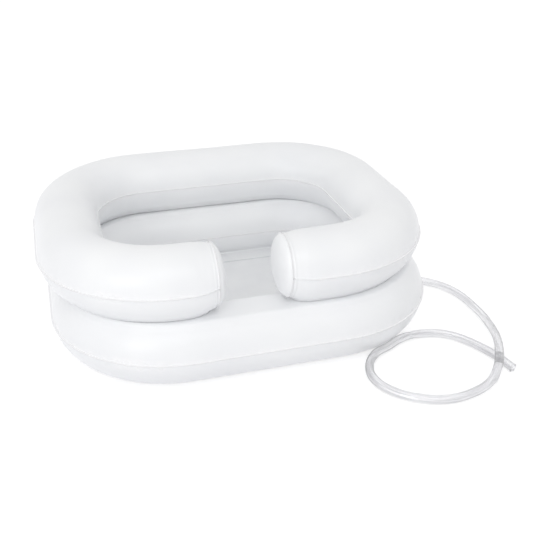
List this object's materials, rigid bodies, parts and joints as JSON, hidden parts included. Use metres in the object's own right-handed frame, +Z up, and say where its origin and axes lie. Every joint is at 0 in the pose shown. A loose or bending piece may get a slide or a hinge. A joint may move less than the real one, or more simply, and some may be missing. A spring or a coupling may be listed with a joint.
{
  "type": "portable shampoo basin",
  "caption": "Inflatable shampoo basin: closed lower air ring with floor and drain hose, upper ring open at the front for the neck.",
  "frame": {"origin": "on the surface that the basin stands on, midway between the centres of the two air rings", "axes": "+X along the basin's width, towards the side where the hose comes out; -Y is the front, where the neck lies; +Z up"},
  "size_m": [0.7115, 0.6476, 0.2118],
  "materials": {
    "pvc_film": "satin white welded film",
    "floor_sheet": "satin white film",
    "drain_plastic": "moulded white",
    "valve_pvc": "soft moulded white",
    "clear_hose": "clear extruded tube"
  },
  "bodies": {
    "basin": {"upper_ring_top_panel": "pvc_film", "upper_ring_bottom_panel": "pvc_film", "upper_ring_left_cap": "pvc_film", "upper_ring_right_cap": "pvc_film", "lower_ring_top_panel": "pvc_film", "lower_ring_bottom_panel": "pvc_film", "basin_floor": "floor_sheet", "drain_flange": "drain_plastic", "drain_elbow": "drain_plastic", "drain_hose": "clear_hose", "upper_valve_flange": "valve_pvc", "lower_valve_flange": "valve_pvc"},
    "upper_stem": {"upper_valve_stem": "valve_pvc", "upper_valve_strap": "valve_pvc", "upper_valve_flap": "valve_pvc"},
    "upper_plug": {"upper_valve_plug": "valve_pvc"},
    "lower_stem": {"lower_valve_stem": "valve_pvc", "lower_valve_strap": "valve_pvc", "lower_valve_flap": "valve_pvc"},
    "lower_plug": {"lower_valve_plug": "valve_pvc"}
  },
  "joints": [
    {"name": "upper_stem_pull", "type": "slide", "parent": "basin", "child": "upper_stem", "axis": [0, 0.9152, 0.403], "range_m": [0, 0.008]},
    {"name": "upper_plug_pull", "type": "slide", "parent": "upper_stem", "child": "upper_plug", "axis": [0, 0.9152, 0.403], "range_m": [0, 0.009]},
    {"name": "lower_stem_pull", "type": "slide", "parent": "basin", "child": "lower_stem", "axis": [0, 0.9179, 0.3969], "range_m": [0, 0.008]},
    {"name": "lower_plug_pull", "type": "slide", "parent": "lower_stem", "child": "lower_plug", "axis": [0, 0.9179, 0.3969], "range_m": [0, 0.009]}
  ]
}
